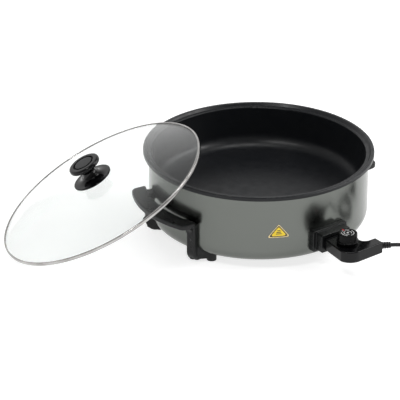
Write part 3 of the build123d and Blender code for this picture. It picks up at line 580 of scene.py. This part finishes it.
def make_knob():
    """Saucer on the glass, waisted grip, and a cap with a groove round its inlaid disc."""
    dish = curve_between((34.8, 38.6), (28, 38.4), (19, 40.0), (16.6, 45.0))
    outline = [(2.5, 37.05), (32, 37.05), (33.5, 35.9), (36.4, 35.8), (36.4, 38.3)] + dish + [(2.5, 45.0)]
    saucer_radii = [0, 0, 0.5, 0.8, 1.0] + [0] * (len(dish) + 1)
    lid_turned("knob_saucer", "knob_base", outline, saucer_radii, gloss_black)
    waist = curve_between((15.6, 45.0), (11, 50), (10, 60), (24.9, 62.95), 24)
    grip = [(2.5, 45.05)] + waist + [(2.5, 62.95)]
    lid_turned("knob_waist", "knob_grip", grip, [0] * len(grip), gloss_black)
    cap = [
        (0.2, 63.05), (29.4, 63.05), (29.4, 71.2), (20.3, 71.2), (19.9, 67.4), (17.0, 67.4), (16.8, 70.9),
        (16.5, 70.9), (16.5, 70.45), (0.2, 70.45),
    ]
    cap_radii = [0, 2.4, 3.4, 0.5, 0.3, 0.3, 0.1, 0.1, 0, 0]
    lid_turned("knob_top", "knob_cap", cap, cap_radii, gloss_black)
    disc = [(0, 70.45), (16.4, 70.45), (16.4, 71.3), (8, 71.6), (0, 71.7)]
    lid_turned("knob_disc", "knob_inlay", disc, [0, 0, 0.3, 0, 0], inlay)


make_glass_lid()
make_lid_band()
make_knob()

# ---------------------------------------------------------------- strain relief and tie
def make_strain_relief():
    """Moulded rings with gaps between them, joined by a core."""
    outline = [(0, -4 * MM), (4.9 * MM, -4 * MM), (4.9 * MM, 0.25 * MM)]
    rings = 4
    pitch = 4.3 * MM
    ring_l = 2.5 * MM
    for ring in range(rings):
        start = 0.3 * MM + ring * pitch
        radius = (6.3 - 0.12 * ring) * MM
        outline += [
            (radius - 0.4 * MM, start), (radius, start + 0.4 * MM),
            (radius, start + ring_l - 0.4 * MM), (radius - 0.4 * MM, start + ring_l),
            (3.8 * MM, start + ring_l), (3.8 * MM, start + pitch),
        ]
    outline += [
        (5.6 * MM, 17.6 * MM), (5.6 * MM, RELIEF_LENGTH - 0.5 * MM),
        (5.1 * MM, RELIEF_LENGTH), (0, RELIEF_LENGTH),
    ]
    mesh = lathe("strain_relief_rings", outline, RELIEF_START, LEAD_DIRECTION, 48)
    piece = new_piece("strain_relief_rings", mesh, "control", cord_sheath, 50)
    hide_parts("strain_relief")
    return piece


def make_tie():
    """Strap once round the coil's turns."""
    width, thick = 12 * MM, 1.0 * MM
    middle = COIL_CENTRE + Vector((-(COIL_INNER_R + COIL_OUTER_R) / 2, 0, 0))
    half, top, low = 7.9 * MM, 14.9 * MM, 0.05 * MM
    outer = rounded([(-half, low), (half, low), (half, top), (-half, top)], [2 * MM] * 4, 5)
    inner_half, inner_low, inner_top = half - thick, low + 0.3 * MM, top - thick
    inner = rounded(
        [(-inner_half, inner_low), (inner_half, inner_low), (inner_half, inner_top), (-inner_half, inner_top)],
        [1.4 * MM] * 4, 5)
    count = len(outer)
    vertices, faces = [], []
    for y in (-width / 2, width / 2):
        for loop in (outer, inner):
            vertices += [middle + Vector((x, y, z)) for x, z in loop]
    for i in range(count):
        j = (i + 1) % count
        faces += [
            (i, j, j + 2 * count, i + 2 * count),
            (i + count, i + 3 * count, j + 3 * count, j + count),
            (i, i + count, j + count, j),
            (i + 2 * count, j + 2 * count, j + 3 * count, i + 3 * count),
        ]
    piece = new_piece("cord_strap", mesh_from("cord_strap", vertices, faces), "control", strap, 50)
    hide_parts("cord_tie")
    return piece


relief = make_strain_relief()
tie = make_tie()

# ---------------------------------------------------------------- label on the wall
LABEL_AZIMUTH = math.radians(-81)
WALL_R = 200 * MM


def on_wall(across, height, lift):
    """Point on the housing's wall, across from the label's middle, bent round the wall."""
    turn = LABEL_AZIMUTH + across / WALL_R
    radius = WALL_R + lift
    return Vector((radius * math.cos(turn), radius * math.sin(turn), height))


def wall_patch(name, outline, low, high, material):
    """A flat outline of (across, height) wrapped on the wall as a thin film."""
    work = bmesh.new()
    loop = [work.verts.new((x, z, 0)) for x, z in outline]
    work.faces.new(loop)
    bmesh.ops.triangulate(work, faces=work.faces)
    for _ in range(3):
        long_edges = [edge for edge in work.edges if edge.calc_length() > 3 * MM]
        bmesh.ops.subdivide_edges(work, edges=long_edges, cuts=1, use_grid_fill=False)
        bmesh.ops.triangulate(work, faces=work.faces)
    top = bmesh.ops.extrude_face_region(work, geom=list(work.faces))
    for vertex in [item for item in top["geom"] if isinstance(item, bmesh.types.BMVert)]:
        vertex.co.z = 1
    for vertex in work.verts:
        vertex.co = on_wall(vertex.co.x, vertex.co.y, high if vertex.co.z > 0.5 else low)
    bmesh.ops.recalc_face_normals(work, faces=work.faces)
    mesh = bpy.data.meshes.new(name)
    work.to_mesh(mesh)
    work.free()
    piece = new_piece(name, mesh, "base", material, 50)
    return piece


def make_label():
    """Plain triangle with borders and three bars: a generic mark with no sign in it."""
    base, height, width = 66 * MM, 25.5 * MM, 41.5 * MM
    layers = (
        ("label_backing", label_cream, 0.0, 0.02, 0.20),
        ("label_border", label_dark, 1.2, 0.18, 0.25),
        ("label_field", yellow, 2.9, 0.23, 0.30),
    )
    bars = (
        ("label_bar_low", 11 * MM, base + 6.2 * MM),
        ("label_bar_middle", 8.5 * MM, base + 9.4 * MM),
        ("label_bar_high", 5.5 * MM, base + 12.6 * MM),
    )
    tall = 1.6 * MM
    backing = None
    for name, material, inset, low, high in layers:
        shrink = inset * MM
        slope = math.atan2(height, width / 2)
        side = shrink / math.tan(slope / 2)
        lift = shrink / math.cos(slope)
        half = width / 2 - side
        outline = [(-half, base + shrink), (half, base + shrink), (0, base + height - lift)]
        piece = wall_patch(name, rounded(outline, [2.2 * MM] * 3, 5), low * MM, high * MM, material)
        backing = backing or piece
    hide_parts("hot_label")
    for name, across, low_z in bars:
        half, top_z = across / 2, low_z + tall
        outline = [(-half, low_z), (half, low_z), (half, top_z), (-half, top_z)]
        wall_patch(name, rounded(outline, [0.7 * MM] * 4, 4), 0.28 * MM, 0.33 * MM, label_dark)


make_label()

# ---------------------------------------------------------------- dial
DIAL_CENTRE = port_point(259, -3, 0)
DIAL_LOW = 61.6 * MM
DIAL_FACE_H = 19.92 * MM        # just above the dial's top, where its marks are printed
PRINT_T = 0.06 * MM


def make_dial():
    """Knob with a skirt and fine ridges round its grip."""
    outline = [
        (0, 0), (18.6, 0), (18.6, 3.2), (19.5, 3.6), (19.5, 6.2), (17.3, 7.2), (16.9, 20.4), (13.6, 20.4),
        (13.2, 19.9), (0, 19.9),
    ]
    profile = rounded(outline, [0, 0.4, 0, 0.3, 0.9, 0.3, 1.3, 0.3, 0.2, 0], 4)
    steps = 192
    ridges = 48
    ridge_depth = 0.2
    vertices, faces = [], []
    count = len(profile)
    for step in range(steps):
        turn = 2 * math.pi * step / steps
        wave = ridge_depth * (0.5 - 0.5 * math.cos(ridges * turn))
        for radius, height in profile:
            on_grip = 7.4 < height < 19.4 and radius > 16
            depth = wave if on_grip else 0
            reach = (radius - depth) * MM
            vertices.append(DIAL_CENTRE + Vector((
                math.cos(turn) * reach, math.sin(turn) * reach, DIAL_LOW + height * MM,
            )))
    for step in range(steps):
        here, there = step * count, (step + 1) % steps * count
        for i in range(count):
            j = (i + 1) % count
            if profile[i][0] > 0 or profile[j][0] > 0:
                faces.append((here + i, there + i, there + j, here + j))
    piece = new_piece("dial_grip", mesh_from("dial_grip", vertices, faces), "dial", dial_black, 40)
    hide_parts("dial_knob")


def dial_arc(name, inner, outer, start, end):
    """Flat printed arc on the dial's top, between two radii in millimetres and two angles in degrees."""
    low = DIAL_LOW + DIAL_FACE_H
    steps = 40
    vertices, faces = [], []
    for step in range(steps + 1):
        turn = math.radians(start + (end - start) * step / steps)
        for radius in (inner, outer):
            for z in (low, low + PRINT_T):
                across, up = math.cos(turn) * radius * MM, math.sin(turn) * radius * MM
                vertices.append(DIAL_CENTRE + Vector((across, up, z)))
    for step in range(steps):
        a, b = 4 * step, 4 * (step + 1)
        faces += [
            (a, b, b + 2, a + 2), (a + 1, a + 3, b + 3, b + 1),
            (a, a + 1, b + 1, b), (a + 2, b + 2, b + 3, a + 3),
        ]
    faces += [(0, 2, 3, 1), (4 * steps, 4 * steps + 1, 4 * steps + 3, 4 * steps + 2)]
    piece = new_piece(name, mesh_from(name, vertices, faces), "dial", white_print, 30)


def make_dial_marks():
    for i, (start, end) in enumerate(((-60, 50), (75, 150), (175, 265))):
        dial_arc(f"dial_arc_outer_{i}", 10.4, 11.6, start, end)
    for i, (start, end) in enumerate(((-20, 100), (130, 290))):
        dial_arc(f"dial_arc_inner_{i}", 6.2, 7.3, start, end)
    dial_arc("dial_dot", 0.0, 2.0, 0, 359.9)


make_dial()
make_dial_marks()

# ---------------------------------------------------------------- stage
def add_area(name, place, aim, size, power):
    """Round soft light; size is its diameter in metres, power is in watts."""
    data = bpy.data.lights.new(name, "AREA")
    data.shape = "DISK"
    data.size = size
    data.energy = power
    light = bpy.data.objects.new(name, data)
    light.location = place
    light.rotation_euler = (Vector(aim) - Vector(place)).to_track_quat("-Z", "Y").to_euler()
    bpy.context.collection.objects.link(light)


def add_floor():
    """Pale lit table: its own glow keeps the shadows faint, as on a light table."""
    half = 6
    corners = [(-half, -half, 0), (half, -half, 0), (half, half, 0), (-half, half, 0)]
    mesh = mesh_from("floor", corners, [(0, 1, 2, 3)])
    floor = bpy.data.objects.new("floor", mesh)
    bpy.context.collection.objects.link(floor)
    material = plain("floor_white", (0.55, 0.55, 0.55), 0.9, Specular_IOR_Level=0.0)
    shader = material.node_tree.nodes["Principled BSDF"]
    shader.inputs["Emission Color"].default_value = (1, 1, 1, 1)
    shader.inputs["Emission Strength"].default_value = 0.74
    mesh.materials.append(material)


def ramp_along(nodes, links, source, stops):
    """Grey level along -1 to 1 of one direction."""
    span = nodes.new("ShaderNodeMapRange")
    span.inputs["From Min"].default_value = -1
    links.new(source, span.inputs["Value"])
    ramp = nodes.new("ShaderNodeValToRGB")
    elements = ramp.color_ramp.elements
    while len(elements) < len(stops):
        elements.new(0.5)
    for element, (position, level) in zip(elements, stops):
        element.position = (position + 1) / 2
        element.color = (level, level, level, 1)
    links.new(span.outputs["Result"], ramp.inputs["Fac"])
    return ramp.outputs["Color"]


def add_world():
    """White all round the horizon, greyer overhead and behind the camera."""
    world = bpy.data.worlds.new("studio")
    bpy.context.scene.world = world
    world.use_nodes = True
    nodes, links = world.node_tree.nodes, world.node_tree.links
    place = nodes.new("ShaderNodeTexCoord")
    parts = nodes.new("ShaderNodeSeparateXYZ")
    links.new(place.outputs["Generated"], parts.inputs["Vector"])
    by_depth = ramp_along(nodes, links, parts.outputs["Y"], [(-0.6, 0.4), (0.15, 1.05)])
    by_height = ramp_along(nodes, links, parts.outputs["Z"], [(0.45, 1.0), (0.75, 0.5), (1.0, 0.4)])
    product = nodes.new("ShaderNodeMix")
    product.data_type = "RGBA"
    product.blend_type = "MULTIPLY"
    product.inputs[0].default_value = 1.0
    links.new(by_depth, product.inputs[6])
    links.new(by_height, product.inputs[7])
    links.new(product.outputs[2], nodes["Background"].inputs["Color"])
    nodes["Background"].inputs["Strength"].default_value = 0.88


add_floor()
add_world()
add_area("key", (-0.9, -1.2, 2.2), (0, 0, 0.1), 0.5, 16)
add_area("top", (0.3, 0.2, 2.4), (0, 0, 0.1), 1.1, 12)
add_area("side_right", (1.8, -0.27, 1.57), (0.15, -0.2, 0.06), 0.9, 16)
add_area("rim_right", (1.6, 0.6, 1.0), (0, 0, 0.1), 0.8, 7)
bpy.context.scene.view_settings.view_transform = "Standard"
